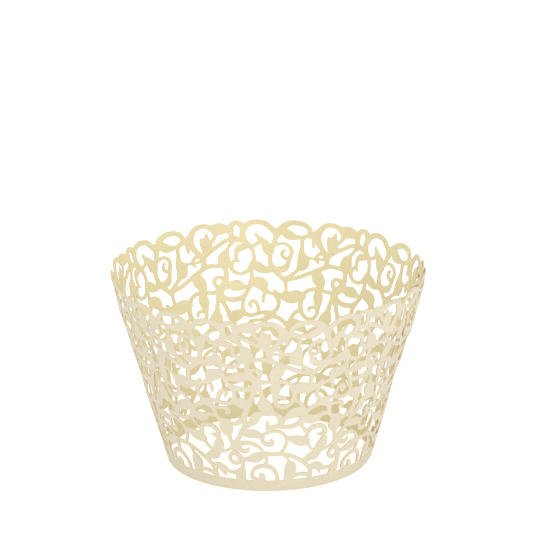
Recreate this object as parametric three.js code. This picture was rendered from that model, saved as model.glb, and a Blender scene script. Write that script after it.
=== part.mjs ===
// A cupcake wrapper: one sheet of card, cut into a vine scroll and rolled into an open cone.
// Millimetres, +Z up. The origin is the middle of the base ring, on the surface it stands on.
import * as THREE from 'three';

// Driving dimensions
const mouthDiameter = 80;
const baseDiameter = 52;
const wrapperHeight = 50;
const cardThickness = 0.3;
const bandHeight = 3.15;
const repeats = 7;
const seamOverlap = 6;
const seamBarWidth = 1.6;
const seamGap = 0.15;
const seamRamp = 9;
const seamAngle = THREE.MathUtils.degToRad(88);
const cutRadius = 0.3;

// How finely the cut line is followed
const traceStep = 0.3;
const samplesPerSpan = 5;
const reachSteps = 3;
const smallestCorner = 0.55;
const fewestCorners = 5;
const longestEdge = 5;
const smallestHole = 4;
const flatAngle = 1e-6;
const mostPasses = 300;

// The vine is drawn on a tile of this size, then repeated round the sheet
const tileWidth = 29.6;
const tileHeight = 52.1;

// Each stroke is a list of [across, up, width] points, joined by a smooth curve.
// Across is measured along the middle of the wall, up along its slope.
const lowerScrolls = [
  // arch that stands on the band
  [[2.5, 2.6, 1.1], [2.4, 4.6, 1.2], [1.6, 6.4, 1.2], [0.1, 7.6, 1.2], [-1.8, 7.9, 1.1], [-3.6, 7.4, 1.1],
    [-5.0, 6.0, 1.1], [-5.2, 4.5, 1.1], [-4.3, 3.6, 1.2], [-3.2, 3.4, 1.2]],
  [[-0.8, 11.5, 1.3], [-0.7, 9.8, 1.0], [-0.9, 8.1, 1.3]],
  // long stem that sweeps down to the band
  [[-1.5, 11.8, 0.9], [0.6, 11.6, 1.0], [2.6, 11.5, 1.0], [4.4, 11.3, 1.0], [6.5, 10.7, 1.0], [8.6, 9.5, 1.1],
    [10.4, 8.2, 1.2], [11.8, 6.9, 1.3], [12.6, 5.6, 1.3], [12.8, 4.2, 1.2], [12.8, 2.7, 1.6]],
  // bulb beside the arch
  [[4.4, 11.3, 0.9], [5.2, 10.2, 0.7], [5.8, 8.8, 0.9], [6.4, 6.9, 3.6], [6.0, 5.0, 2.9], [5.8, 2.8, 2.6]],
  // crossing stem, the stem under the bud
  [[12.6, 6.6, 1.2], [14.0, 6.8, 2.1], [15.6, 6.3, 2.0], [17.2, 5.5, 1.0], [19.0, 5.4, 1.0], [20.8, 5.8, 1.8]],
  [[-9.0, 2.7, 3.0], [-8.6, 4.4, 3.0], [-8.0, 6.3, 1.7], [-7.8, 8.4, 1.2], [-8.5, 10.4, 1.5], [-9.7, 12.0, 1.2],
    [-10.0, 13.6, 1.6]],
  // bud on that stem
  [[-8.4, 9.7, 2.0], [-9.8, 9.9, 3.4], [-10.4, 10.0, 2.4]],
  // leaf between the bud and the long stem
  [[-8.0, 9.5, 1.1], [-6.2, 9.8, 1.2], [-3.7, 10.5, 2.9], [-1.2, 11.4, 1.2]],
  // hooked bow above that leaf
  [[-1.2, 11.7, 0.8], [-2.1, 13.0, 0.8], [-3.4, 14.2, 0.9], [-5.0, 14.9, 1.1], [-6.8, 14.9, 1.3], [-8.3, 14.2, 1.4],
    [-8.3, 12.9, 1.3], [-7.2, 12.3, 1.3], [-6.1, 12.5, 1.1], [-5.7, 13.3, 0.5]],
  // leaves and stem that carry the oval ring
  [[20.4, 15.0, 1.0], [19.6, 13.8, 1.0], [18.3, 12.5, 0.8], [16.4, 11.6, 0.8], [14.4, 11.5, 1.4]],
  [[10.2, 8.6, 1.4], [12.0, 9.8, 2.2], [13.8, 10.4, 2.6], [14.0, 12.0, 1.8]],
  [[12.6, 11.9, 0.8], [11.4, 13.3, 0.8], [10.6, 15.2, 1.0], [10.5, 17.2, 1.0], [11.3, 18.8, 1.2], [13.1, 19.4, 1.3],
    [14.8, 18.8, 1.3], [15.6, 17.4, 1.3], [15.5, 16.0, 1.3], [15.6, 14.6, 2.2], [15.1, 13.1, 3.0], [14.0, 11.9, 1.6]],
  [[4.9, 16.4, 1.0], [6.6, 16.0, 1.9], [8.4, 15.3, 3.0], [10.4, 14.8, 2.4]],
  [[10.6, 17.4, 1.0], [9.5, 18.7, 1.0], [8.7, 20.0, 1.0], [8.7, 21.6, 1.1], [8.8, 23.6, 1.4]],
  // great curl in the middle
  [[3.2, 11.9, 0.9], [4.3, 13.1, 0.9], [4.8, 14.8, 0.9], [4.6, 16.6, 0.9], [3.6, 18.0, 0.9], [2.0, 18.7, 0.9],
    [0.3, 18.6, 0.9], [-1.1, 17.9, 0.9], [-1.8, 16.6, 1.0], [-1.6, 15.3, 1.1], [-0.6, 14.7, 1.2], [0.6, 14.8, 1.4],
    [0.9, 15.3, 1.2], [0.6, 16.1, 0.6]],
  [[-7.4, 18.2, 1.6], [-5.6, 17.9, 2.3], [-3.8, 17.8, 2.4], [-1.6, 16.8, 1.1]],
];

const middleScrolls = [
  // main stem, forked above the bud
  [[-10.0, 13.2, 1.4], [-9.3, 14.9, 1.2], [-8.0, 16.6, 1.2], [-7.2, 18.4, 1.2], [-6.4, 20.4, 1.1],
    [-6.3, 22.4, 1.2], [-5.9, 24.4, 1.3], [-5.2, 26.4, 1.3], [-4.4, 28.4, 1.2], [-3.6, 30.4, 1.2], [-2.8, 32.0, 1.4],
    [-2.4, 33.8, 1.6]],
  [[-10.0, 13.6, 1.3], [-10.6, 15.4, 1.0], [-11.0, 17.0, 1.4], [-11.4, 18.8, 3.6], [-11.4, 20.4, 3.2],
    [-10.8, 21.2, 1.4]],
  // curl over the great curl
  [[-0.1, 18.4, 1.0], [-0.1, 19.6, 1.3], [-0.4, 20.5, 1.2], [-0.1, 21.5, 0.5]],
  [[-0.1, 19.5, 1.1], [1.6, 20.1, 1.0], [3.4, 20.0, 1.1], [5.2, 19.8, 1.2], [7.2, 20.4, 1.2], [8.7, 21.6, 1.1]],
  [[3.0, 20.0, 1.2], [3.2, 21.4, 1.8], [2.9, 22.8, 1.5], [1.8, 23.9, 1.1], [0.2, 24.3, 1.0], [-1.4, 24.0, 1.0],
    [-2.8, 23.4, 1.4]],
  [[-5.9, 19.9, 1.0], [-4.7, 21.1, 1.8], [-3.5, 22.4, 2.4], [-3.2, 23.6, 2.0], [-1.6, 24.2, 1.0]],
  [[-2.4, 33.2, 1.0], [-1.8, 31.0, 1.0], [-1.4, 28.6, 1.6], [-1.0, 26.8, 3.4], [-0.1, 25.2, 2.8], [1.0, 24.2, 1.1]],
  [[3.2, 21.6, 1.8], [4.4, 22.8, 1.2], [6.2, 24.0, 2.8], [8.0, 24.4, 2.6], [9.0, 23.8, 1.8]],
  // hanging curl with its leaf
  [[1.4, 34.0, 1.0], [3.2, 34.0, 1.1], [4.8, 33.3, 1.1], [5.8, 32.0, 1.1], [6.3, 30.2, 1.3], [6.1, 28.4, 1.2],
    [5.2, 26.8, 1.1], [3.8, 26.1, 1.0], [2.4, 26.5, 1.0], [1.6, 27.8, 1.0], [1.5, 29.2, 1.1], [1.6, 30.6, 2.0],
    [1.7, 32.0, 2.6], [1.8, 33.8, 1.4]],
  [[1.5, 29.2, 1.0], [2.9, 29.3, 0.9], [3.9, 28.9, 0.9], [3.9, 28.1, 0.5]],
  [[6.2, 28.2, 1.1], [7.6, 27.4, 1.0], [8.5, 26.0, 1.1], [9.0, 24.2, 1.6]],
  [[5.8, 31.6, 1.6], [7.2, 32.0, 2.6], [8.6, 31.4, 3.4], [10.2, 31.4, 2.2], [11.6, 31.8, 1.2]],
  // stems and leaf that carry the two big bowls
  [[9.0, 23.8, 1.6], [10.4, 24.8, 1.2], [11.8, 25.8, 1.2], [13.4, 26.3, 1.2], [15.0, 25.8, 1.4], [15.8, 24.4, 1.1],
    [16.2, 22.6, 1.1], [17.4, 21.2, 1.1], [19.0, 20.5, 1.1], [20.8, 20.6, 1.1], [22.4, 21.8, 1.3], [23.6, 23.6, 1.3],
    [24.2, 25.6, 1.2]],
  [[9.2, 22.8, 1.6], [10.6, 21.8, 2.6], [12.2, 21.8, 2.4], [13.8, 22.8, 1.1], [15.8, 23.0, 1.2]],
  [[15.0, 25.8, 1.3], [16.6, 25.4, 0.9], [18.2, 25.4, 0.9], [19.3, 25.1, 1.3], [19.2, 24.2, 1.3], [18.7, 23.8, 0.7]],
  [[13.2, 26.5, 1.6], [14.6, 27.0, 1.8], [16.0, 27.4, 1.0], [17.6, 27.1, 1.0], [19.2, 26.9, 1.1], [20.6, 27.4, 1.2],
    [21.3, 29.0, 1.0], [21.0, 30.8, 1.0], [20.2, 32.6, 1.0], [19.2, 34.2, 1.0], [18.7, 36.0, 1.0], [18.5, 37.8, 1.0],
    [18.9, 39.4, 1.1]],
  [[13.6, 27.0, 1.3], [12.4, 28.2, 1.1], [11.9, 29.6, 1.1], [12.2, 31.0, 1.1], [13.0, 32.2, 1.0], [14.2, 32.6, 0.9],
    [15.4, 33.4, 1.6], [16.0, 34.8, 3.0], [17.2, 35.4, 3.0], [18.7, 35.8, 1.4]],
  [[17.0, 27.3, 0.9], [17.2, 28.8, 0.9], [17.7, 30.2, 1.0], [18.7, 30.6, 1.0], [19.3, 30.0, 1.1], [19.0, 29.0, 0.7]],
  [[21.2, 28.0, 1.2], [22.6, 27.3, 2.8], [23.8, 27.0, 3.0], [25.0, 27.2, 1.2]],
  // leaf under the upper stem
  [[19.2, 34.4, 1.1], [20.8, 34.5, 1.4], [22.2, 35.0, 2.9], [23.6, 35.2, 2.0], [25.6, 35.2, 1.8]],
  // junction and rising stem
  [[-2.8, 33.9, 1.6], [-1.2, 33.7, 1.1], [0.4, 33.9, 1.0], [1.8, 34.3, 1.0]],
  [[-2.6, 33.6, 1.4], [-3.8, 35.0, 1.9], [-4.6, 36.4, 1.6], [-4.9, 38.0, 1.2], [-4.8, 39.8, 1.4], [-4.7, 41.4, 3.0],
    [-4.8, 42.8, 2.6], [-5.6, 44.4, 0.9], [-6.4, 45.8, 0.9], [-7.4, 46.8, 1.0]],
  [[1.6, 34.2, 1.3], [1.5, 35.6, 2.4], [2.2, 37.0, 3.2], [2.8, 38.6, 1.8]],
  [[-3.9, 40.4, 1.2], [-2.4, 40.5, 1.1], [-0.6, 40.6, 1.2], [1.0, 39.9, 1.2], [2.8, 38.9, 1.2], [5.0, 37.8, 1.1],
    [6.8, 36.9, 1.1], [8.6, 36.3, 1.1], [10.4, 36.1, 1.2], [11.8, 37.0, 1.1], [12.8, 38.2, 1.3]],
  [[10.4, 35.9, 1.1], [10.2, 34.4, 0.9], [10.2, 33.0, 0.9], [10.9, 31.9, 1.1]],
  [[6.8, 43.6, 0.9], [6.2, 41.6, 2.8], [6.2, 40.2, 2.8], [7.4, 38.8, 1.1], [8.6, 37.6, 1.0], [10.2, 36.4, 1.0]],
];

const rimScrolls = [
  // first arch with its tulip leaf
  [[-0.2, 44.6, 1.2], [-1.4, 46.4, 0.9], [-2.6, 47.6, 0.9], [-3.1, 49.0, 1.0], [-2.6, 50.4, 1.2], [-1.2, 51.3, 1.3],
    [0.4, 51.5, 1.3], [1.8, 50.8, 1.4], [2.7, 49.4, 1.5], [3.0, 47.6, 1.5], [2.4, 45.8, 1.4], [1.2, 44.2, 1.2],
    [0.4, 43.0, 1.2], [0.3, 41.4, 1.2], [0.6, 40.2, 1.2]],
  [[-0.8, 44.4, 1.2], [-0.9, 46.0, 2.4], [-0.7, 47.2, 2.2], [-1.0, 48.4, 1.0], [-1.1, 49.3, 0.6]],
  [[-8.4, 47.0, 1.2], [-6.8, 47.3, 1.1], [-5.2, 46.8, 1.1], [-3.6, 45.8, 1.1], [-2.0, 44.8, 1.1], [-0.6, 43.8, 1.2],
    [0.4, 42.8, 1.2]],
  // stem between the arches
  [[5.9, 48.0, 0.9], [6.6, 46.8, 0.9], [6.6, 45.0, 0.9], [6.7, 43.2, 1.4]],
  // second arch with its hanging leaf
  [[3.2, 48.6, 1.6], [4.9, 48.0, 1.0], [6.6, 47.5, 0.8], [7.6, 47.7, 0.8]],
  [[4.9, 48.0, 1.2], [5.1, 49.8, 1.2], [6.3, 50.9, 1.3], [8.0, 51.3, 1.4], [9.6, 51.1, 1.5], [11.0, 50.2, 1.7],
    [12.0, 48.8, 1.7], [12.7, 47.2, 1.4], [13.2, 45.2, 1.1], [13.9, 43.2, 1.1], [14.1, 41.2, 1.1], [13.6, 39.4, 1.3]],
  [[7.2, 47.4, 0.7], [8.4, 47.4, 1.6], [9.8, 47.9, 2.4], [11.2, 49.2, 1.6]],
  // curl under the second arch
  [[13.2, 45.4, 1.0], [12.2, 45.4, 0.9], [10.9, 45.6, 0.9], [9.6, 44.9, 0.9], [9.0, 43.6, 0.9], [9.3, 42.2, 1.0],
    [9.7, 40.6, 1.0], [10.6, 39.0, 1.8], [12.2, 38.6, 1.8], [13.8, 38.8, 1.8], [15.4, 38.6, 2.0], [17.0, 39.6, 2.6],
    [18.2, 40.6, 1.4]],
  // third arch with its long leaf
  [[12.6, 48.4, 1.8], [13.8, 49.6, 1.4], [15.2, 51.0, 1.4], [16.9, 51.4, 1.4], [18.6, 51.0, 1.4], [19.8, 49.8, 1.4],
    [20.2, 48.2, 1.4], [19.8, 46.6, 1.3], [18.6, 45.2, 1.0], [17.2, 45.4, 0.9], [16.4, 46.4, 1.0]],
  [[13.8, 43.4, 1.2], [14.6, 43.6, 2.0], [14.9, 45.0, 2.2], [15.8, 46.4, 1.4], [16.8, 47.4, 0.9], [17.2, 48.2, 0.7]],
  // bowl under the third arch
  [[18.9, 45.4, 1.2], [18.0, 43.6, 0.9], [17.8, 41.8, 0.9], [18.2, 40.2, 1.0], [19.2, 38.8, 1.0], [20.8, 37.9, 1.0],
    [22.4, 38.3, 1.0], [23.3, 39.6, 1.0], [22.9, 41.0, 0.9], [22.0, 42.0, 0.9], [21.9, 43.6, 1.0], [21.2, 44.6, 1.8],
    [20.0, 45.0, 1.6], [18.8, 45.4, 1.0]],
  // small eye and the leaf lobe of the rim
  [[19.9, 49.8, 1.6], [20.9, 51.2, 1.3], [22.0, 51.3, 1.3], [22.9, 50.0, 1.3], [22.8, 48.4, 1.2], [21.8, 47.2, 1.1],
    [20.6, 46.6, 1.2]],
  [[22.8, 49.4, 1.4], [24.2, 50.0, 2.2], [25.6, 50.2, 3.2], [27.2, 50.4, 1.6]],
];

const strokes = [...lowerScrolls, ...middleScrolls, ...rimScrolls];

// Sizes that follow from the driving ones
const baseRadius = baseDiameter / 2;
const mouthRadius = mouthDiameter / 2;
const slope = Math.hypot(wrapperHeight, mouthRadius - baseRadius);
const roundLength = Math.PI * (baseRadius + mouthRadius);
const sheetLength = roundLength + seamOverlap;
const levelThickness = cardThickness * slope / wrapperHeight;
const stretchAcross = roundLength / (repeats * tileWidth);
const stretchUp = slope / tileHeight;

// A stroke as short straight pieces, each with a start, an end and their half widths
function strokePieces(stroke) {
  const points = stroke.map(([across, up, width]) => (
    new THREE.Vector3(across * stretchAcross, up * stretchUp, width / 2)));
  const curve = new THREE.CatmullRomCurve3(points, false, 'centripetal');
  const samples = curve.getPoints((points.length - 1) * samplesPerSpan);
  return samples.slice(1).map((end, i) => ({ start: samples[i], end }));
}

// How far a point is inside a piece of a stroke, negative outside it
function depthInPiece(x, y, { start, end }) {
  const dx = end.x - start.x;
  const dy = end.y - start.y;
  const along = ((x - start.x) * dx + (y - start.y) * dy) / (dx * dx + dy * dy);
  const t = Math.min(Math.max(along, 0), 1);
  const halfWidth = start.z + t * (end.z - start.z);
  return halfWidth - Math.hypot(x - start.x - t * dx, y - start.y - t * dy);
}

// The larger of two depths, with a small fillet where the two are nearly equal
function joinDepths(a, b) {
  const blend = Math.max(cutRadius - Math.abs(a - b), 0) / cutRadius;
  return Math.max(a, b) + blend * blend * cutRadius / 4;
}

// The vine's depth on the trace grid of one tile, with strokes that cross its sides wrapped round
const tileLength = roundLength / repeats;
const tileColumns = Math.round(tileLength / traceStep);
const columnStep = tileLength / tileColumns;
const rows = Math.ceil(slope / traceStep) + 3;

function traceTile() {
  const depths = new Float64Array(tileColumns * rows).fill(-tileLength);
  const reach = reachSteps * traceStep;
  for (const stroke of strokes) {
    const inked = new Map();
    for (const piece of strokePieces(stroke)) {
      const margin = Math.max(piece.start.z, piece.end.z) + reach;
      const firstColumn = Math.floor((Math.min(piece.start.x, piece.end.x) - margin) / columnStep);
      const lastColumn = Math.ceil((Math.max(piece.start.x, piece.end.x) + margin) / columnStep);
      const firstRow = Math.floor((Math.min(piece.start.y, piece.end.y) - margin) / traceStep) + 1;
      const lastRow = Math.ceil((Math.max(piece.start.y, piece.end.y) + margin) / traceStep) + 1;
      for (let row = Math.max(firstRow, 0); row <= Math.min(lastRow, rows - 1); row += 1) {
        for (let column = firstColumn; column <= lastColumn; column += 1) {
          const wrapped = ((column % tileColumns) + tileColumns) % tileColumns;
          const place = wrapped * rows + row;
          const depth = depthInPiece(column * columnStep, (row - 1) * traceStep, piece);
          inked.set(place, Math.max(inked.get(place) ?? -tileLength, depth));
        }
      }
    }
    for (const [place, depth] of inked) {
      depths[place] = joinDepths(depths[place], depth);
    }
  }
  return depths;
}

// The whole sheet: the vine, the base band and a bar along each end, trimmed to the sheet's edges
const columns = Math.ceil(sheetLength / columnStep) + 3;
const vine = traceTile();
const seamColumns = Math.round(seamAngle / (2 * Math.PI) * roundLength / columnStep);

function sheetDepth(column, row) {
  const x = (column - 1) * columnStep;
  const y = (row - 1) * traceStep;
  const tileColumn = (column - 1 + seamColumns + tileColumns) % tileColumns;
  const fromEnd = Math.min(x, sheetLength - x);
  let depth = joinDepths(vine[tileColumn * rows + row], bandHeight - y);
  depth = joinDepths(depth, seamBarWidth - fromEnd);
  return Math.min(depth, fromEnd, y, slope - y);
}

// Follow the line where the depth is zero, cell by cell, into closed loops with card on the left
function traceLoops() {
  const depths = new Float64Array(columns * rows);
  for (let column = 0; column < columns; column += 1) {
    for (let row = 0; row < rows; row += 1) {
      depths[column * rows + row] = sheetDepth(column, row);
    }
  }
  const at = (column, row) => depths[column * rows + row];
  const crossings = new Map();
  const cross = (c0, r0, c1, r1) => {
    const a = at(c0, r0);
    const t = a / (a - at(c1, r1));
    const key = `${Math.min(c0, c1)},${Math.min(r0, r1)},${c0 === c1 ? 'up' : 'across'}`;
    crossings.set(key, new THREE.Vector2(
      (c0 + t * (c1 - c0) - 1) * columnStep,
      (r0 + t * (r1 - r0) - 1) * traceStep));
    return key;
  };
  const next = new Map();
  for (let column = 0; column < columns - 1; column += 1) {
    for (let row = 0; row < rows - 1; row += 1) {
      const corners = [[column, row], [column + 1, row], [column + 1, row + 1], [column, row + 1]];
      const inside = corners.map(([c, r]) => at(c, r) > 0);
      const leaving = [];
      const entering = [];
      corners.forEach((corner, i) => {
        const other = (i + 1) % 4;
        if (inside[i] === inside[other]) return;
        const key = cross(...corner, ...corners[other]);
        (inside[i] ? leaving : entering).push({ key, side: i });
      });
      for (const from of leaving) {
        // in a cell with four crossings the card is kept apart at its two corners
        const to = entering.length === 1
          ? entering[0]
          : entering.find(({ side }) => side === (from.side + 3) % 4);
        next.set(from.key, to.key);
      }
    }
  }
  const loops = [];
  while (next.size > 0) {
    const loop = [];
    let key = next.keys().next().value;
    while (next.has(key)) {
      loop.push(crossings.get(key));
      const following = next.get(key);
      next.delete(key);
      key = following;
    }
    loops.push(loop);
  }
  return loops;
}

// Leave out a loop's flattest corners, the smallest first, until every corner that stays shows
function thinLoop(loop) {
  const kept = [...loop];
  const cornerArea = (i) => {
    const before = kept[(i + kept.length - 1) % kept.length];
    const after = kept[(i + 1) % kept.length];
    return Math.abs(after.clone().sub(before).cross(kept[i].clone().sub(before))) / 2;
  };
  const areas = kept.map((_, i) => cornerArea(i));
  while (kept.length > fewestCorners) {
    const flattest = areas.reduce((best, area, i) => (area < areas[best] ? i : best), 0);
    if (areas[flattest] > smallestCorner) break;
    kept.splice(flattest, 1);
    areas.splice(flattest, 1);
    const before = (flattest + kept.length - 1) % kept.length;
    const after = flattest % kept.length;
    areas[before] = cornerArea(before);
    areas[after] = cornerArea(after);
  }
  return kept.flatMap((point, i) => {
    const end = kept[(i + 1) % kept.length];
    const parts = Math.ceil(point.distanceTo(end) / longestEdge);
    return Array.from({ length: parts }, (_, part) => point.clone().lerp(end, part / parts));
  });
}

// Turn shared edges inside the card to the shorter, rounder pair of triangles
function squareUp(points, triangles) {
  const angleAt = (corner, a, b) => {
    const u = points[a].clone().sub(points[corner]);
    const v = points[b].clone().sub(points[corner]);
    return Math.atan2(Math.abs(u.cross(v)), u.dot(v));
  };
  const area = (a, b, c) => {
    const u = points[b].clone().sub(points[a]);
    return u.cross(points[c].clone().sub(points[a]));
  };
  const edgeKey = (a, b) => a * points.length + b;
  for (let pass = 0, turned = 1; turned > 0 && pass < mostPasses; pass += 1) {
    turned = 0;
    const owners = new Map();
    triangles.forEach((triangle, index) => triangle.forEach((a, i) => {
      const b = triangle[(i + 1) % 3];
      owners.set(edgeKey(a, b), { index, a, b, apex: triangle[(i + 2) % 3] });
    }));
    const touched = new Set();
    for (const { index, a, b, apex } of owners.values()) {
      const beyond = owners.get(edgeKey(b, a));
      if (!beyond || a > b || touched.has(index) || touched.has(beyond.index)) continue;
      if (angleAt(apex, a, b) + angleAt(beyond.apex, a, b) < Math.PI + flatAngle) continue;
      if (area(apex, a, beyond.apex) < flatAngle || area(beyond.apex, b, apex) < flatAngle) continue;
      triangles[index] = [apex, a, beyond.apex];
      triangles[beyond.index] = [beyond.apex, b, apex];
      touched.add(index).add(beyond.index);
      turned += 1;
    }
  }
}

// Roll a point of the flat sheet onto the cone. The last stretch of the sheet lies over the first.
function roll(point, levelOffset) {
  const angle = seamAngle + 2 * Math.PI * point.x / roundLength;
  const intoRamp = THREE.MathUtils.smoothstep(point.x, roundLength - seamRamp, roundLength - seamGap);
  const lift = intoRamp * (levelThickness + seamGap);
  const radius = baseRadius + (mouthRadius - baseRadius) * point.y / slope + lift - levelOffset;
  return [radius * Math.sin(angle), -radius * Math.cos(angle), wrapperHeight * point.y / slope];
}

// The solid wall: the outline's triangles outside and inside, with the cut edges between them
function buildWall() {
  const loops = traceLoops();
  const outline = loops.reduce((a, b) => (THREE.ShapeUtils.area(b) > THREE.ShapeUtils.area(a) ? b : a));
  const holes = loops.filter((loop) => THREE.ShapeUtils.area(loop) < -smallestHole);
  const thinned = [outline, ...holes].map(thinLoop);
  const points = thinned.flat();
  const triangles = THREE.ShapeUtils.triangulateShape(thinned[0], thinned.slice(1));
  squareUp(points, triangles);

  const positions = [];
  const addFace = (...corners) => corners.forEach((corner) => positions.push(...corner));
  const outer = points.map((point) => roll(point, 0));
  const inner = points.map((point) => roll(point, levelThickness));
  const edges = new Set(triangles.flatMap(([a, b, c]) => [`${a},${b}`, `${b},${c}`, `${c},${a}`]));
  for (const [a, b, c] of triangles) {
    addFace(outer[a], outer[b], outer[c]);
    addFace(inner[c], inner[b], inner[a]);
  }
  for (const key of edges) {
    const [a, b] = key.split(',').map(Number);
    if (edges.has(`${b},${a}`)) continue;
    addFace(outer[a], inner[a], inner[b]);
    addFace(outer[a], inner[b], outer[b]);
  }
  const geometry = new THREE.BufferGeometry();
  geometry.setAttribute('position', new THREE.Float32BufferAttribute(positions, 3));
  geometry.computeVertexNormals();
  return geometry;
}

const pearlCard = new THREE.MeshStandardMaterial({ color: 0xe9dfc6, roughness: 0.45, metalness: 0.05 });

const wrapper = new THREE.Mesh(buildWall(), pearlCard);
wrapper.name = 'wrapper';

const group = new THREE.Group();
group.add(wrapper);
export default group;
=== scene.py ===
# A cupcake wrapper of pearl card: a vine scroll cut from one sheet and rolled into an open cone.
# The pattern is drawn flat in millimetres, cut out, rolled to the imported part's size and thickened.
import math

import bpy
import numpy as np
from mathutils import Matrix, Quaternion, Vector, noise
from mathutils.geometry import delaunay_2d_cdt


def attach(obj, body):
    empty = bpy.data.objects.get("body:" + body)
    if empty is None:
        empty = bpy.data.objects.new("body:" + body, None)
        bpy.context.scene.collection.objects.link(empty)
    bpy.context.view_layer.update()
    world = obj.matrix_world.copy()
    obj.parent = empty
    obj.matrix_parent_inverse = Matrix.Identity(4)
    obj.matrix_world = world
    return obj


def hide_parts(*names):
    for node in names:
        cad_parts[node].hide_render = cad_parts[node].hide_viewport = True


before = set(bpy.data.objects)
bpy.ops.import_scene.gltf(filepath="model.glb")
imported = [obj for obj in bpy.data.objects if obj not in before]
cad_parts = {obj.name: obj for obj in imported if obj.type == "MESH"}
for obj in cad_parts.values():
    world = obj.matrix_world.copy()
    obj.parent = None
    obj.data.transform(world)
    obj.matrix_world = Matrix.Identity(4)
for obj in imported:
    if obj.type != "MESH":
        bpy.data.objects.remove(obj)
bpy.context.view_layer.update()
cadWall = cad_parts["wrapper"]
mm = 0.001
print("frame loaded")


def deselectAll():
    bpy.ops.object.select_all(action="DESELECT")


def selectOnly(piece):
    deselectAll()
    piece.select_set(True)
    bpy.context.view_layer.objects.active = piece


# the cone that the sheet is rolled to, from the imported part's own front, back and height
cadPoints = np.empty(len(cadWall.data.vertices) * 3)
cadWall.data.vertices.foreach_get("co", cadPoints)
cadPoints = cadPoints.reshape(-1, 3) / mm
baseTolerance = 0.01
onBase = cadPoints[:, 2] < baseTolerance
cone = {
    "base": np.abs(cadPoints[onBase, 1]).max(),
    "mouth": np.abs(cadPoints[:, 1]).max(),
    "height": cadPoints[:, 2].max(),
}
cone["slope"] = math.hypot(cone["height"], cone["mouth"] - cone["base"])
cone["round"] = math.pi * (cone["base"] + cone["mouth"])  # round the middle of the wall

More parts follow.
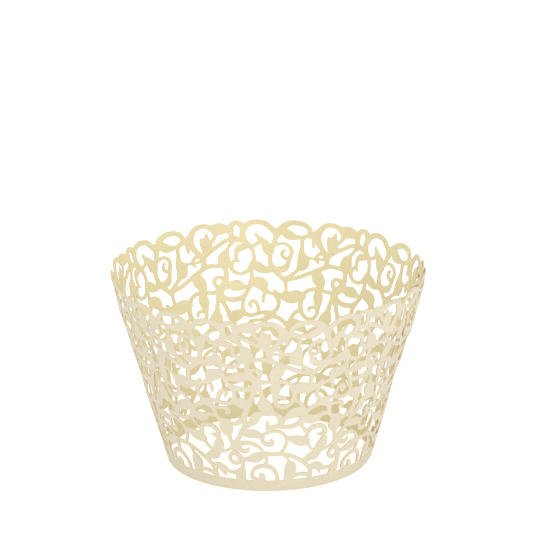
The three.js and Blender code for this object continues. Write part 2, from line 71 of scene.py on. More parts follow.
vine = {  # across the tile, up it, and the width of the card there
    "lowerScrolls": [
        # arch that stands on the band
        [[2.5, 2.6, 1.1], [2.4, 4.6, 1.2], [1.6, 6.4, 1.2], [0.1, 7.6, 1.2], [-1.8, 7.9, 1.1],
         [-3.6, 7.4, 1.1], [-5.0, 6.0, 1.1], [-5.2, 4.5, 1.1], [-4.3, 3.6, 1.2], [-3.2, 3.4, 1.2]],
        [[-0.8, 11.5, 1.3], [-0.7, 9.8, 1.0], [-0.9, 8.1, 1.3]],
        # long stem that sweeps down to the band
        [[-1.5, 11.8, 0.9], [0.6, 11.6, 1.0], [2.6, 11.5, 1.0], [4.4, 11.3, 1.0], [6.5, 10.7, 1.0],
         [8.6, 9.5, 1.1], [10.4, 8.2, 1.2], [11.8, 6.9, 1.3], [12.6, 5.6, 1.3], [12.8, 4.2, 1.2],
         [12.8, 2.7, 1.6]],
        # bulb beside the arch
        [[4.4, 11.3, 0.9], [5.2, 10.2, 0.7], [5.8, 8.8, 0.9], [6.4, 6.9, 3.6], [6.0, 5.0, 2.9],
         [5.8, 2.8, 2.6]],
        # crossing stem, then the stem under the bud
        [[12.6, 6.6, 1.2], [14.0, 6.8, 2.1], [15.6, 6.3, 2.0], [17.2, 5.5, 1.0], [19.0, 5.4, 1.0],
         [20.8, 5.8, 1.8]],
        [[-9.0, 2.7, 3.0], [-8.6, 4.4, 3.0], [-8.0, 6.3, 1.7], [-7.8, 8.4, 1.2], [-8.5, 10.4, 1.5],
         [-9.7, 12.0, 1.2], [-10.0, 13.6, 1.6]],
        # small ring on that stem
        [[-8.6, 9.0, 1.1], [-9.6, 8.4, 1.1], [-10.9, 8.7, 1.1], [-11.5, 9.9, 1.1], [-10.9, 11.1, 1.1],
         [-9.7, 11.4, 1.2], [-8.7, 10.8, 1.2], [-8.4, 9.9, 1.2], [-8.6, 9.0, 1.1]],
        # leaf between the ring and the long stem
        [[-8.0, 9.5, 1.1], [-6.2, 9.8, 1.2], [-3.7, 10.5, 2.9], [-1.2, 11.4, 1.2]],
        # hooked bow above that leaf
        [[-1.2, 11.7, 0.8], [-2.1, 13.0, 0.8], [-3.4, 14.2, 0.9], [-5.0, 14.9, 1.1], [-6.8, 14.9, 1.3],
         [-8.3, 14.2, 1.4], [-8.3, 12.9, 1.3], [-7.2, 12.3, 1.3], [-6.1, 12.5, 1.1], [-5.7, 13.3, 0.5]],
        # leaves and stem that carry the oval ring
        [[20.4, 15.0, 1.0], [19.6, 13.8, 1.0], [18.3, 12.5, 0.8], [16.4, 11.6, 0.8], [14.4, 11.5, 1.4]],
        [[10.2, 8.6, 1.4], [12.0, 9.8, 2.2], [13.8, 10.4, 2.6], [14.0, 12.0, 1.8]],
        [[12.6, 11.9, 0.8], [11.4, 13.3, 0.8], [10.6, 15.2, 1.0], [10.5, 17.2, 1.0], [11.3, 18.8, 1.2],
         [13.1, 19.4, 1.3], [14.8, 18.8, 1.3], [15.6, 17.4, 1.3], [15.5, 16.0, 1.3], [15.6, 14.6, 2.2],
         [15.1, 13.1, 3.0], [14.0, 11.9, 1.6]],
        [[4.9, 16.4, 1.0], [6.6, 16.0, 1.9], [8.4, 15.3, 3.0], [10.4, 14.8, 2.4]],
        [[10.6, 17.4, 1.0], [9.5, 18.7, 1.0], [8.7, 20.0, 1.0], [8.7, 21.6, 1.1], [8.8, 23.6, 1.4]],
        # great curl in the middle
        [[3.2, 11.9, 0.9], [4.3, 13.1, 0.9], [4.8, 14.8, 0.9], [4.6, 16.6, 0.9], [3.6, 18.0, 0.9],
         [2.0, 18.7, 0.9], [0.3, 18.6, 0.9], [-1.1, 17.9, 0.9], [-1.8, 16.6, 1.0], [-1.6, 15.3, 1.1],
         [-0.6, 14.7, 1.2], [0.6, 14.8, 1.4], [0.9, 15.3, 1.2], [0.6, 16.1, 0.6]],
        [[-7.4, 18.2, 1.6], [-5.6, 17.9, 2.3], [-3.8, 17.8, 2.4], [-1.6, 16.8, 1.1]],
        # bud in the arch
        [[-2.0, 2.8, 1.8], [-2.0, 3.9, 1.8], [-2.2, 4.7, 1.6], [-2.6, 5.1, 1.0]],
        # low bow over the slot beside the bulb
        [[6.4, 3.5, 1.2], [8.0, 4.6, 1.0], [10.0, 4.7, 1.0], [12.4, 4.2, 1.2]],
        # barb under the crossing stem
        [[15.0, 5.8, 1.2], [16.0, 4.4, 0.6]],
        # barb inside the oval ring
        [[15.0, 16.4, 1.0], [13.6, 16.6, 0.5]],
    ],
    "middleScrolls": [
        # main stem, forked above the bud
        [[-10.0, 13.2, 1.4], [-9.3, 14.9, 1.2], [-8.0, 16.6, 1.2], [-7.2, 18.4, 1.2], [-6.4, 20.4, 1.1],
         [-6.3, 22.4, 1.2], [-5.9, 24.4, 1.3], [-5.2, 26.4, 1.3], [-4.4, 28.4, 1.2], [-3.6, 30.4, 1.2],
         [-2.8, 32.0, 1.4], [-2.4, 33.8, 1.6]],
        [[-10.0, 13.6, 1.3], [-10.6, 15.4, 1.0], [-11.0, 17.0, 1.4], [-11.4, 18.8, 3.6],
         [-11.4, 20.4, 3.2], [-10.8, 21.2, 1.4]],
        # curl over the great curl
        [[-0.1, 18.4, 1.0], [-0.1, 19.6, 1.3], [-0.4, 20.5, 1.2], [-0.1, 21.5, 0.5]],
        [[-0.1, 19.5, 1.1], [1.6, 20.1, 1.0], [3.4, 20.0, 1.1], [5.2, 19.8, 1.2], [7.2, 20.4, 1.2],
         [8.7, 21.6, 1.1]],
        [[3.0, 20.0, 1.2], [3.2, 21.4, 1.8], [2.9, 22.8, 1.5], [1.8, 23.9, 1.1], [0.2, 24.3, 1.0],
         [-1.4, 24.0, 1.0], [-2.8, 23.4, 1.4]],
        [[-5.9, 19.9, 1.0], [-4.7, 21.1, 1.8], [-3.5, 22.4, 2.4], [-3.2, 23.6, 2.0], [-1.6, 24.2, 1.0]],
        [[-2.4, 33.2, 1.0], [-1.8, 31.0, 1.0], [-1.4, 28.6, 1.6], [-1.0, 26.8, 3.4], [-0.1, 25.2, 2.8],
         [1.0, 24.2, 1.1]],
        [[3.2, 21.6, 1.8], [4.4, 22.8, 1.2], [6.2, 24.0, 2.8], [8.0, 24.4, 2.6], [9.0, 23.8, 1.8]],
        # hanging curl with its leaf
        [[1.4, 34.0, 1.0], [3.2, 34.0, 1.1], [4.8, 33.3, 1.1], [5.8, 32.0, 1.1], [6.3, 30.2, 1.3],
         [6.1, 28.4, 1.2], [5.2, 26.8, 1.1], [3.8, 26.1, 1.0], [2.4, 26.5, 1.0], [1.6, 27.8, 1.0],
         [1.5, 29.2, 1.1], [1.6, 30.6, 2.0], [1.7, 32.0, 2.6], [1.8, 33.8, 1.4]],
        [[1.5, 29.2, 1.0], [2.9, 29.3, 0.9], [3.9, 28.9, 0.9], [3.9, 28.1, 0.5]],
        [[6.2, 28.2, 1.1], [7.6, 27.4, 1.0], [8.5, 26.0, 1.1], [9.0, 24.2, 1.6]],
        [[5.8, 31.6, 1.6], [7.2, 32.0, 2.6], [8.6, 31.4, 3.4], [10.2, 31.4, 2.2], [11.6, 31.8, 1.2]],
        # stems and leaf that carry the two big bowls
        [[9.0, 23.8, 1.6], [10.4, 24.8, 1.2], [11.8, 25.8, 1.2], [13.4, 26.3, 1.2], [15.0, 25.8, 1.4],
         [15.8, 24.4, 1.1], [16.2, 22.6, 1.1], [17.4, 21.2, 1.1], [19.0, 20.5, 1.1], [20.8, 20.6, 1.1],
         [22.4, 21.8, 1.3], [23.6, 23.6, 1.3], [24.2, 25.6, 1.2]],
        [[9.2, 22.8, 1.6], [10.6, 21.8, 2.6], [12.2, 21.8, 2.4], [13.8, 22.8, 1.1], [15.8, 23.0, 1.2]],
        [[15.0, 25.8, 1.3], [16.6, 25.4, 0.9], [18.2, 25.4, 0.9], [19.3, 25.1, 1.3], [19.2, 24.2, 1.3],
         [18.7, 23.8, 0.7]],
        [[13.2, 26.5, 1.6], [14.6, 27.0, 1.8], [16.0, 27.4, 1.0], [17.6, 27.1, 1.0], [19.2, 26.9, 1.1],
         [20.6, 27.4, 1.2], [21.3, 29.0, 1.0], [21.0, 30.8, 1.0], [20.2, 32.6, 1.0], [19.2, 34.2, 1.0],
         [18.7, 36.0, 1.0], [18.5, 37.8, 1.0], [18.9, 39.4, 1.1]],
        [[13.6, 27.0, 1.3], [12.4, 28.2, 1.1], [11.9, 29.6, 1.1], [12.2, 31.0, 1.1], [13.0, 32.2, 1.0],
         [14.2, 32.6, 0.9], [15.4, 33.4, 1.6], [16.0, 34.8, 3.0], [17.2, 35.4, 3.0], [18.7, 35.8, 1.4]],
        [[17.0, 27.3, 0.9], [17.2, 28.8, 0.9], [17.7, 30.2, 1.0], [18.7, 30.6, 1.0], [19.3, 30.0, 1.1],
         [19.0, 29.0, 0.7]],
        [[21.2, 28.0, 1.2], [22.6, 27.3, 2.8], [23.8, 27.0, 3.0], [25.0, 27.2, 1.2]],
        # leaf under the upper stem
        [[19.2, 34.4, 1.1], [20.8, 34.5, 1.4], [22.2, 35.0, 2.9], [23.6, 35.2, 2.0], [25.6, 35.2, 1.8]],
        # junction and rising stem
        [[-2.8, 33.9, 1.6], [-1.2, 33.7, 1.1], [0.4, 33.9, 1.0], [1.8, 34.3, 1.0]],
        [[-2.6, 33.6, 1.4], [-3.8, 35.0, 1.9], [-4.6, 36.4, 1.6], [-4.9, 38.0, 1.2], [-4.8, 39.8, 1.4],
         [-4.7, 41.4, 3.0], [-4.8, 42.8, 2.6], [-5.6, 44.4, 0.9], [-6.4, 45.8, 0.9], [-7.4, 46.8, 1.0]],
        [[1.6, 34.2, 1.3], [1.5, 35.6, 2.4], [2.2, 37.0, 3.2], [2.8, 38.6, 1.8]],
        [[-3.9, 40.4, 1.2], [-2.4, 40.5, 1.1], [-0.6, 40.6, 1.2], [1.0, 39.9, 1.2], [2.8, 38.9, 1.2],
         [5.0, 37.8, 1.1], [6.8, 36.9, 1.1], [8.6, 36.3, 1.1], [10.4, 36.1, 1.2], [11.8, 37.0, 1.1],
         [12.8, 38.2, 1.3]],
        [[10.4, 35.9, 1.1], [10.2, 34.4, 0.9], [10.2, 33.0, 0.9], [10.9, 31.9, 1.1]],
        [[6.8, 43.6, 0.9], [6.2, 41.6, 2.8], [6.2, 40.2, 2.8], [7.4, 38.8, 1.1], [8.6, 37.6, 1.0],
         [10.2, 36.4, 1.0]],
        # barbs and small tendrils
        [[14.0, 22.9, 1.0], [14.2, 23.4, 0.6]],
        [[11.6, 31.8, 1.1], [12.3, 32.4, 1.0], [13.0, 33.3, 0.6]],
        [[15.2, 32.8, 1.0], [15.8, 31.6, 0.9], [15.8, 30.2, 0.7]],
        [[23.6, 34.6, 1.0], [23.5, 33.8, 0.6]],
        # crescent bow between the long leaf and the stem
        [[20.2, 32.6, 1.0], [21.4, 31.7, 1.3], [23.2, 31.4, 1.4], [25.0, 31.7, 1.3], [26.2, 32.6, 1.2],
         [26.9, 34.0, 1.6]],
        # small loop beside the rising stem
        [[-4.2, 35.6, 1.2], [-2.8, 34.9, 1.1], [-1.9, 35.6, 1.0], [-1.8, 36.8, 1.0], [-2.7, 37.5, 1.0],
         [-3.8, 37.2, 1.0], [-4.6, 36.4, 1.2]],
    ],
    "rimScrolls": [
        # first arch with its tulip leaf
        [[-0.2, 44.6, 1.2], [-1.4, 46.4, 0.9], [-2.6, 47.6, 0.9], [-3.1, 49.0, 1.0], [-2.6, 50.4, 1.2],
         [-1.2, 51.3, 1.3], [0.4, 51.5, 1.3], [1.8, 50.8, 1.4], [2.7, 49.4, 1.5], [3.0, 47.6, 1.5],
         [2.4, 45.8, 1.4], [1.2, 44.2, 1.2], [0.4, 43.0, 1.2], [0.3, 41.4, 1.2], [0.6, 40.2, 1.2]],
        [[-0.8, 44.4, 1.2], [-0.9, 46.0, 2.4], [-0.7, 47.2, 2.2], [-1.0, 48.4, 1.0], [-1.1, 49.3, 0.6]],
        [[-8.4, 47.0, 1.2], [-6.8, 47.3, 1.1], [-5.2, 46.8, 1.1], [-3.6, 45.8, 1.1], [-2.0, 44.8, 1.1],
         [-0.6, 43.8, 1.2], [0.4, 42.8, 1.2]],
        # stem between the arches
        [[5.9, 48.0, 0.9], [6.6, 46.8, 0.9], [6.6, 45.0, 0.9], [6.7, 43.2, 1.4]],
        # second arch with its hanging leaf
        [[3.2, 48.6, 1.6], [4.9, 48.0, 1.0], [6.6, 47.5, 0.8], [7.6, 47.7, 0.8]],
        [[4.9, 48.0, 1.2], [5.1, 49.8, 1.2], [6.3, 50.9, 1.3], [8.0, 51.3, 1.4], [9.6, 51.1, 1.5],
         [11.0, 50.2, 1.7], [12.0, 48.8, 1.7], [12.7, 47.2, 1.4], [13.2, 45.2, 1.1], [13.9, 43.2, 1.1],
         [14.1, 41.2, 1.1], [13.6, 39.4, 1.3]],
        [[7.2, 47.4, 0.7], [8.4, 47.4, 1.6], [9.8, 47.9, 2.4], [11.2, 49.2, 1.6]],
        # curl under the second arch
        [[13.2, 45.4, 1.0], [12.2, 45.4, 0.9], [10.9, 45.6, 0.9], [9.6, 44.9, 0.9], [9.0, 43.6, 0.9],
         [9.3, 42.2, 1.0], [9.7, 40.6, 1.0], [10.6, 39.0, 1.8], [12.2, 38.6, 1.8], [13.8, 38.8, 1.8],
         [15.4, 38.6, 2.0], [17.0, 39.6, 2.6], [18.2, 40.6, 1.4]],
        # third arch with its long leaf
        [[12.6, 48.4, 1.8], [13.8, 49.6, 1.4], [15.2, 51.0, 1.4], [16.9, 51.4, 1.4], [18.6, 51.0, 1.4],
         [19.8, 49.8, 1.4], [20.2, 48.2, 1.4], [19.8, 46.6, 1.3], [18.6, 45.2, 1.0], [17.2, 45.4, 0.9],
         [16.4, 46.4, 1.0]],
        [[13.8, 43.4, 1.2], [14.6, 43.6, 2.0], [14.9, 45.0, 2.2], [15.8, 46.4, 1.4], [16.8, 47.4, 0.9],
         [17.2, 48.2, 0.7]],
        # bowl under the third arch
        [[18.9, 45.4, 1.2], [18.0, 43.6, 0.9], [17.8, 41.8, 0.9], [18.2, 40.2, 1.0], [19.2, 38.8, 1.0],
         [20.8, 37.9, 1.0], [22.4, 38.3, 1.0], [23.3, 39.6, 1.0], [22.9, 41.0, 0.9], [22.0, 42.0, 0.9],
         [21.9, 43.6, 1.0], [21.2, 44.6, 1.8], [20.0, 45.0, 1.6], [18.8, 45.4, 1.0]],
        # small eye and the leaf lobe of the rim
        [[19.9, 49.8, 1.6], [20.9, 51.2, 1.3], [22.0, 51.3, 1.3], [22.9, 50.0, 1.3], [22.8, 48.4, 1.2],
         [21.8, 47.2, 1.1], [20.6, 46.6, 1.2]],
        [[22.8, 49.4, 1.4], [24.2, 50.0, 2.2], [25.6, 50.2, 3.2], [27.2, 50.4, 1.6]],
        # spur, scroll, second tip and thin cross stem round the tulip leaf
        [[3.3, 49.0, 1.6], [3.6, 47.4, 1.6], [3.9, 46.2, 0.9], [3.9, 45.2, 0.6]],
        [[0.8, 43.2, 0.9], [2.0, 43.7, 0.9], [2.9, 42.9, 0.8], [3.0, 41.9, 0.8], [2.5, 41.0, 0.6]],
        [[-0.2, 45.0, 1.0], [0.2, 46.6, 1.2], [0.4, 48.2, 0.6]],
        [[0.6, 42.3, 0.8], [2.0, 42.1, 0.7], [3.4, 42.1, 0.7], [5.4, 42.2, 0.9]],
        # inner curl under the second arch
        [[9.5, 41.8, 0.8], [10.4, 41.6, 0.9], [11.2, 42.4, 0.9], [11.2, 43.4, 0.8], [10.5, 44.0, 0.5]],
        # barb in the bowl under the third arch
        [[22.0, 41.5, 0.8], [21.3, 41.1, 0.6]],
    ],
}

sheet = {  # millimetres, unless it says otherwise
    "repeats": 7,
    "tileWidth": 29.6,  # of the vine as it is drawn above
    "tileHeight": 52.1,
    "card": 0.3,
    "band": 3.15,  # plain strip along the base
    "cutFillet": 0.3,  # what the cut leaves in a sharp inside corner
    "seamAngle": 88,  # degrees round from the front
    "overlap": 6,
    "endBar": 1.6,  # plain strip at each end of the sheet
    "seamGap": 0.15,
    "seamRamp": 9,
    "gridStep": 0.15,
    "strokeSteps": 8,  # between two drawn points
    "strokeMargin": 4,  # grid steps that are filled in round a stroke
    "turnPerPoint": 11,  # degrees
    "longestEdge": 1.1,
    "fewestPoints": 12,  # round the smallest opening, before it is thinned
    "lastSmoothing": 2,  # passes
    "weld": 1e-5,
    "widestCard": 8,  # a longer triangle side only spans the air between two scallops
    "stiffBase": 30,  # below this height the ripples die away
    "ripples": ((0.70, 16), (0.32, 5)),  # the most that each moves the rim in or out, and its length
}

tileLength = cone["round"] / sheet["repeats"]
tileColumns = round(tileLength / sheet["gridStep"])
columnStep = tileLength / tileColumns
rowStep = sheet["gridStep"]
# the grid starts one step before the sheet and ends at least one step past it
rowCount = math.ceil(cone["slope"] / rowStep) + 3
sheetLength = cone["round"] + sheet["overlap"]
columnCount = math.ceil(sheetLength / columnStep) + 3


def smoothStroke(drawn):
    # a smooth curve through the drawn points, with the half width as its third number
    scale = (tileLength / sheet["tileWidth"], cone["slope"] / sheet["tileHeight"], 0.5)
    knots = np.array(drawn) * scale
    knots = np.vstack([2 * knots[0] - knots[1], knots, 2 * knots[-1] - knots[-2]])
    t = np.linspace(0, 1, sheet["strokeSteps"], endpoint=False)[:, None]
    path = []
    for before, start, end, after in zip(knots, knots[1:], knots[2:], knots[3:]):
        gapBefore, gap, gapAfter = [
            math.sqrt(np.linalg.norm(b - a)) for a, b in ((before, start), (start, end), (end, after))
        ]
        pace = (end - start) / gap
        leaving = ((start - before) / gapBefore - (end - before) / (gapBefore + gap) + pace) * gap
        arriving = (pace - (after - start) / (gap + gapAfter) + (after - end) / gapAfter) * gap
        path.append(
            start + leaving * t
            + (3 * (end - start) - 2 * leaving - arriving) * t ** 2
            + (2 * (start - end) + leaving + arriving) * t ** 3
        )
    return np.vstack(path + [knots[-2]])


def joinDepths(a, b):
    fillet = sheet["cutFillet"]
    blend = np.clip(fillet - np.abs(a - b), 0, None) / fillet
    return np.maximum(a, b) + blend ** 2 * fillet / 4


def drawVine():
    # how deep inside the card each grid point of one tile is; strokes that cross its sides come back in
    depth = np.full((tileColumns, rowCount), -tileLength)
    for drawn in [stroke for group in vine.values() for stroke in group]:
        path = smoothStroke(drawn)
        reach = path[:, 2].max() + sheet["strokeMargin"] * rowStep
        low, high = path.min(axis=0) - reach, path.max(axis=0) + reach
        columns = np.arange(math.floor(low[0] / columnStep), math.ceil(high[0] / columnStep) + 1)
        firstRow = max(math.floor(low[1] / rowStep) + 1, 0)
        endRow = min(math.ceil(high[1] / rowStep) + 2, rowCount)
        rows = np.arange(firstRow, endRow)
        x, y = np.meshgrid(columns * columnStep, (rows - 1) * rowStep, indexing="ij")
        ink = np.full(x.shape, -tileLength)
        for start, end in zip(path, path[1:]):
            run = end - start
            along = ((x - start[0]) * run[0] + (y - start[1]) * run[1]) / (run[0] ** 2 + run[1] ** 2)
            along = np.clip(along, 0, 1)
            aside = np.hypot(x - start[0] - along * run[0], y - start[1] - along * run[1])
            ink = np.maximum(ink, start[2] + along * run[2] - aside)
        place = np.ix_(columns % tileColumns, rows)
        depth[place] = joinDepths(depth[place], ink)
    return depth


def drawSheet():
    # the vine right along the sheet, with the plain base band and a bar at each end
    turned = round(sheet["seamAngle"] / 360 * cone["round"] / columnStep)
    tileColumn = (np.arange(columnCount) - 1 + turned) % tileColumns
    x = (np.arange(columnCount)[:, None] - 1) * columnStep
    y = (np.arange(rowCount)[None, :] - 1) * rowStep
    fromEnd = np.minimum(x, sheetLength - x)
    depth = joinDepths(drawVine()[tileColumn], sheet["band"] - y)
    depth = joinDepths(depth, sheet["endBar"] - fromEnd)
    return np.minimum(np.minimum(depth, fromEnd), np.minimum(y, cone["slope"] - y))


def followCut(depth):
    # closed cut lines where the depth is zero, with the card always on the left
    inside = depth > 0
    columns, rows = np.meshgrid(np.arange(columnCount - 1), np.arange(rowCount - 1), indexing="ij")
    upward = columnCount * rowCount  # numbers of the upright grid edges start here
    # the sides of every grid square: below, right, above and left, by number
    sides = [
        columns * rowCount + rows,
        upward + (columns + 1) * rowCount + rows,
        columns * rowCount + rows + 1,
        upward + columns * rowCount + rows,
    ]
    # and its corners, each at the start of the side of the same number
    corners = [inside[:-1, :-1], inside[1:, :-1], inside[1:, 1:], inside[:-1, 1:]]
    following = {}
    # a line enters where a side goes from card to air, and goes round that card's corner where it can,
    # so card that meets only at a corner is cut apart
    for side in range(4):
        waiting = corners[side] & ~corners[(side + 1) % 4]
        for turn in (3, 2, 1):
            other = (side + turn) % 4
            met = waiting & ~corners[other] & corners[(other + 1) % 4]
            following.update(zip(sides[side][met].tolist(), sides[other][met].tolist()))
            waiting &= ~met
    lines = []
    while following:
        edge, line = next(iter(following)), []
        while edge in following:
            line.append(edge)
            edge = following.pop(edge)
        edges = np.array(line)
        isUpward = edges >= upward
        column, row = np.divmod(edges % upward, rowCount)
        nextColumn, nextRow = column + ~isUpward, row + isUpward
        here, there = depth[column, row], depth[nextColumn, nextRow]
        share = here / (here - there)
        lines.append(np.column_stack([
            (column - 1 + share * (nextColumn - column)) * columnStep,
            (row - 1 + share * (nextRow - row)) * rowStep,
        ]))
    return lines


def easeCut(line):
    # even steps, a light smoothing, then only the points that a curve needs
    closed = np.vstack([line, line[:1]])
    run = np.concatenate([[0], np.cumsum(np.linalg.norm(np.diff(closed, axis=0), axis=1))])
    even = np.linspace(0, run[-1], max(round(run[-1] / rowStep), sheet["fewestPoints"]), endpoint=False)
    line = np.column_stack([np.interp(even, run, closed[:, i]) for i in (0, 1)])
    for _ in range(sheet["lastSmoothing"]):
        line = (np.roll(line, 1, axis=0) + 2 * line + np.roll(line, -1, axis=0)) / 4
    step = np.roll(line, -1, axis=0) - line
    heading = np.arctan2(step[:, 1], step[:, 0])
    turn = np.abs((heading - np.roll(heading, 1) + math.pi) % (2 * math.pi) - math.pi)
    need = np.cumsum(turn / math.radians(sheet["turnPerPoint"]) + even[1] / sheet["longestEdge"])
    return line[np.diff(np.floor(need), prepend=-1) > 0]


def signedArea(line):
    x, y = line.T
    return (x * np.roll(y, -1) - np.roll(x, -1) * y).sum() / 2


def cutSheet():
    # the flat sheet's points and triangles: triangles are kept where they lie on the left of a cut line
    depth = drawSheet()
    lines = followCut(depth)
    outline = max(lines, key=signedArea)
    cuts = [easeCut(line) for line in [outline] + [line for line in lines if signedArea(line) < 0]]
    points = np.vstack(cuts)
    firsts = np.cumsum([0] + [len(cut) for cut in cuts])
    edges = [
        (first + i, first + (i + 1) % len(cut))
        for first, cut in zip(firsts, cuts) for i in range(len(cut))
    ]
    insideOutline = 1
    flat, _, triangles, sources, _, _ = delaunay_2d_cdt(
        [Vector(p) for p in points], edges, [], insideOutline, sheet["weld"], True
    )
    madeFrom = {source: made for made, group in enumerate(sources) for source in group}
    cut = {(madeFrom[a], madeFrom[b]) for a, b in edges}
    flat = np.array([tuple(p) for p in flat])
    kept = []
    for triangle in triangles:
        sidesOf = list(zip(triangle, triangle[1:] + triangle[:1]))
        onCard = any(side in cut for side in sidesOf)
        offCard = any(side[::-1] in cut for side in sidesOf)
        if not onCard and not offCard:
            x, y = flat[triangle].mean(axis=0)
            onCard = depth[round(x / columnStep) + 1, round(y / rowStep) + 1] > 0
        longest = max(np.linalg.norm(flat[a] - flat[b]) for a, b in sidesOf)
        if onCard and longest < sheet["widestCard"]:
            kept.append(triangle)
    return flat, kept


def smoothRise(t):
    t = np.clip(t, 0, 1)
    return t * t * (3 - 2 * t)


def rollSheet(flat):
    # onto the cone, with the last stretch of the sheet lifted over the first
    x, y = flat.T
    angle = math.radians(sheet["seamAngle"]) + 2 * math.pi * x / cone["round"]
    rampStart = cone["round"] - sheet["seamRamp"]
    intoRamp = smoothRise((x - rampStart) / (sheet["seamRamp"] - sheet["seamGap"]))
    lift = intoRamp * (sheet["card"] + sheet["seamGap"])
    radius = cone["base"] + (cone["mouth"] - cone["base"]) * y / cone["slope"] + lift
    places = np.column_stack([radius * np.sin(angle), radius * np.cos(angle), y])
    for depth, length in sheet["ripples"]:
        stray = np.array([noise.noise(Vector(place)) for place in places / length])
        radius = radius + depth * stray * smoothRise(y / sheet["stiffBase"])
    height = cone["height"] * y / cone["slope"]
    return np.column_stack([radius * np.sin(angle), -radius * np.cos(angle), height])


finish = {
    "outside": (0.86, 0.785, 0.585),
    # the inside colour is painted shade: yellower and darker than the outside, for the shade and warm
    # bounce light in the wrapper's hollow
    "inside": (0.82, 0.735, 0.44),
    "cutEdge": (0.74, 0.61, 0.38),
    "pearl": (1.0, 0.92, 0.89),
    "gloss": 1.85,  # index of the pearl coating
    "roughness": 0.48,
    "outsideSheen": 0.12,
    "insideSheen": 0.04,
    "cutEdgeSheen": 0,
    "sheenRoughness": 0.4,
    "grainSize": 0.22 * mm,
    "grainDetail": 2,
    "grainContrast": (0.35, 0.65),
    "grainShade": (0.97, 1.03),  # times the card's colour
    "grainHeight": 0.05 * mm,
    "grainStrength": 0.10,
    "smoothAngle": 40,  # degrees
}


def grainGroup():
    # fine pearl grain: a mask and a height, both from the card's own coordinates
    group = bpy.data.node_groups.new("pearlGrain", "ShaderNodeTree")
    group.interface.new_socket("Grain Scale", in_out="INPUT", socket_type="NodeSocketFloat")
    group.interface.new_socket("Mask", in_out="OUTPUT", socket_type="NodeSocketFloat")
    group.interface.new_socket("Height", in_out="OUTPUT", socket_type="NodeSocketFloat")
    nodes, links = group.nodes, group.links
    given = nodes.new("NodeGroupInput")
    made = nodes.new("NodeGroupOutput")
    place = nodes.new("ShaderNodeTexCoord")
    fine = nodes.new("ShaderNodeTexNoise")
    fine.inputs["Detail"].default_value = finish["grainDetail"]
    links.new(place.outputs["Object"], fine.inputs["Vector"])
    links.new(given.outputs["Grain Scale"], fine.inputs["Scale"])
    contrast = nodes.new("ShaderNodeMapRange")
    contrast.inputs["From Min"].default_value = finish["grainContrast"][0]
    contrast.inputs["From Max"].default_value = finish["grainContrast"][1]
    links.new(fine.outputs["Fac"], contrast.inputs["Value"])
    links.new(contrast.outputs["Result"], made.inputs["Mask"])
    links.new(fine.outputs["Fac"], made.inputs["Height"])
    return group


def cardMaterial(name, colour, sheen):
    material = bpy.data.materials.new(name)
    material.use_nodes = True
    nodes, links = material.node_tree.nodes, material.node_tree.links
    shader = nodes["Principled BSDF"]
    grain = nodes.new("ShaderNodeGroup")
    grain.node_tree = pearlGrain
    grain.inputs["Grain Scale"].default_value = 1 / finish["grainSize"]
    shade = nodes.new("ShaderNodeMix")
    shade.data_type = "RGBA"
    darker, lighter = finish["grainShade"]
    shade.inputs["A"].default_value = (*[c * darker for c in colour], 1)
    shade.inputs["B"].default_value = (*[c * lighter for c in colour], 1)
    links.new(grain.outputs["Mask"], shade.inputs["Factor"])
    links.new(shade.outputs["Result"], shader.inputs["Base Color"])
    bump = nodes.new("ShaderNodeBump")
    bump.inputs["Strength"].default_value = finish["grainStrength"]
    bump.inputs["Distance"].default_value = finish["grainHeight"]
    links.new(grain.outputs["Height"], bump.inputs["Height"])
    links.new(bump.outputs["Normal"], shader.inputs["Normal"])
    shader.inputs["Roughness"].default_value = finish["roughness"]
    shader.inputs["IOR"].default_value = finish["gloss"]
    shader.inputs["Specular Tint"].default_value = (*finish["pearl"], 1)
    shader.inputs["Sheen Weight"].default_value = sheen
    shader.inputs["Sheen Roughness"].default_value = finish["sheenRoughness"]
    shader.inputs["Sheen Tint"].default_value = (*finish["pearl"], 1)
    return material


pearlGrain = grainGroup()
flat, triangles = cutSheet()
print("sheet cut:", len(flat), "points,", len(triangles), "triangles")
mesh = bpy.data.meshes.new("cutCard")
mesh.from_pydata((rollSheet(flat) * mm).tolist(), [], triangles)
mesh.validate()
cutCard = bpy.data.objects.new("cutCard", mesh)
bpy.context.collection.objects.link(cutCard)
cutCard.data.materials.append(cardMaterial("pearlOutside", finish["outside"], finish["outsideSheen"]))
# the inner face gets the inside colour, with its painted shade
cutCard.data.materials.append(cardMaterial("pearlInsidePaintedShade", finish["inside"], finish["insideSheen"]))
cutCard.data.materials.append(cardMaterial("cutEdge", finish["cutEdge"], finish["cutEdgeSheen"]))
selectOnly(cutCard)
thickness = cutCard.modifiers.new("thickness", "SOLIDIFY")
thickness.thickness = sheet["card"] * mm
thickness.offset = -1
thickness.use_rim = True
# the inner face takes the second material and the cut edge the third
thickness.material_offset = 1
thickness.material_offset_rim = 2
bpy.ops.object.modifier_apply(modifier="thickness")
bpy.ops.object.shade_smooth_by_angle(angle=math.radians(finish["smoothAngle"]))
print("sheet rolled:", len(cutCard.data.polygons), "faces")
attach(cutCard, "root")
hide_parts("wrapper")
print("card finished")

studio = {
    "floorSize": 4.0,
    "floorShade": 0.80,
    "floorGlow": 0.40,  # seen by the camera only
    "world": 1.16,
    "lampPower": 3.4,
    "lampSize": 0.9,
    "lampPlace": (0.3, -1.05, 0.8),
    "lampAim": (0, 0, 0.025),
}

deselectAll()
bpy.ops.mesh.primitive_plane_add(size=studio["floorSize"], location=(0, 0, 0))
floor = bpy.context.object
floor.name = "floor"
bpy.ops.object.transform_apply(location=True, rotation=True, scale=True)


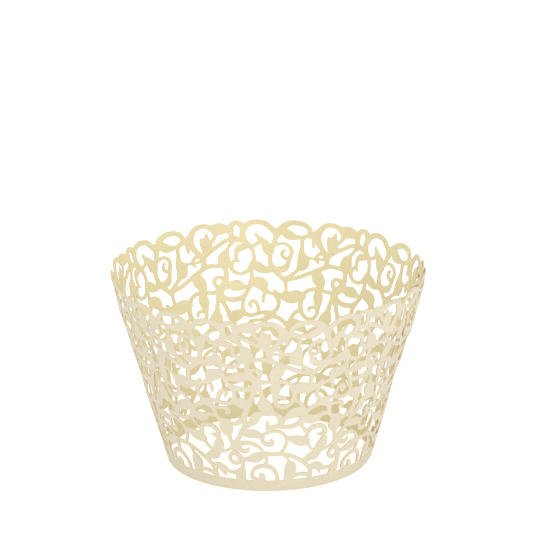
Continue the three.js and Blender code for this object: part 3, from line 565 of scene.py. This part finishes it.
def floorMaterial():
    material = bpy.data.materials.new("whiteFloor")
    material.use_nodes = True
    nodes, links = material.node_tree.nodes, material.node_tree.links
    nodes.clear()
    matte = nodes.new("ShaderNodeBsdfDiffuse")
    matte.inputs["Color"].default_value = (*[studio["floorShade"]] * 3, 1)
    glow = nodes.new("ShaderNodeEmission")
    seen = nodes.new("ShaderNodeLightPath")
    strength = nodes.new("ShaderNodeMath")
    strength.operation = "MULTIPLY"
    strength.inputs[1].default_value = studio["floorGlow"]
    both = nodes.new("ShaderNodeAddShader")
    out = nodes.new("ShaderNodeOutputMaterial")
    links.new(seen.outputs["Is Camera Ray"], strength.inputs[0])
    links.new(strength.outputs["Value"], glow.inputs["Strength"])
    links.new(matte.outputs["BSDF"], both.inputs[0])
    links.new(glow.outputs["Emission"], both.inputs[1])
    links.new(both.outputs["Shader"], out.inputs["Surface"])
    return material


floor.data.materials.append(floorMaterial())

world = bpy.context.scene.world or bpy.data.worlds.new("studio")
bpy.context.scene.world = world
world.use_nodes = True
nodes, links = world.node_tree.nodes, world.node_tree.links
nodes.clear()
sky = nodes.new("ShaderNodeBackground")
sky.inputs["Strength"].default_value = studio["world"]
backdrop = nodes.new("ShaderNodeBackground")
choose = nodes.new("ShaderNodeMixShader")
path = nodes.new("ShaderNodeLightPath")
worldOut = nodes.new("ShaderNodeOutputWorld")
links.new(path.outputs["Is Camera Ray"], choose.inputs["Fac"])
links.new(sky.outputs["Background"], choose.inputs[1])
links.new(backdrop.outputs["Background"], choose.inputs[2])
links.new(choose.outputs["Shader"], worldOut.inputs["Surface"])

lampData = bpy.data.lights.new("softbox", "AREA")
lampData.energy = studio["lampPower"]
lampData.size = studio["lampSize"]
lamp = bpy.data.objects.new("softbox", lampData)
bpy.context.collection.objects.link(lamp)
lamp.location = studio["lampPlace"]
lamp.rotation_euler = (Vector(studio["lampAim"]) - lamp.location).to_track_quat("-Z", "Y").to_euler()
print("studio set")

shot = {
    "distance": 0.9,
    "elevation": 19.02,  # degrees
    "roll": 0.6,
    "frameWidth": 134.56 * mm,  # at the middle of the mouth
    "imageSize": 533,
    "mouthAt": (267.0, 268.4),  # pixels from the left and the top
}
cameraData = bpy.data.cameras.new("camera")
camera = bpy.data.objects.new("camera", cameraData)
bpy.context.collection.objects.link(camera)
mouthMiddle = Vector((0, 0, cone["height"] * mm))
tilt = math.radians(shot["elevation"])
camera.location = mouthMiddle + shot["distance"] * Vector((0, -math.cos(tilt), math.sin(tilt)))
camera.rotation_mode = "QUATERNION"
aim = (mouthMiddle - camera.location).to_track_quat("-Z", "Y")
camera.rotation_quaternion = aim @ Quaternion((0, 0, 1), -math.radians(shot["roll"]))
cameraData.lens = cameraData.sensor_width * shot["distance"] / shot["frameWidth"]
cameraData.shift_x = 0.5 - shot["mouthAt"][0] / shot["imageSize"]
cameraData.shift_y = shot["mouthAt"][1] / shot["imageSize"] - 0.5
bpy.context.scene.camera = camera
bpy.context.scene.view_settings.view_transform = "Standard"

print("camera set")
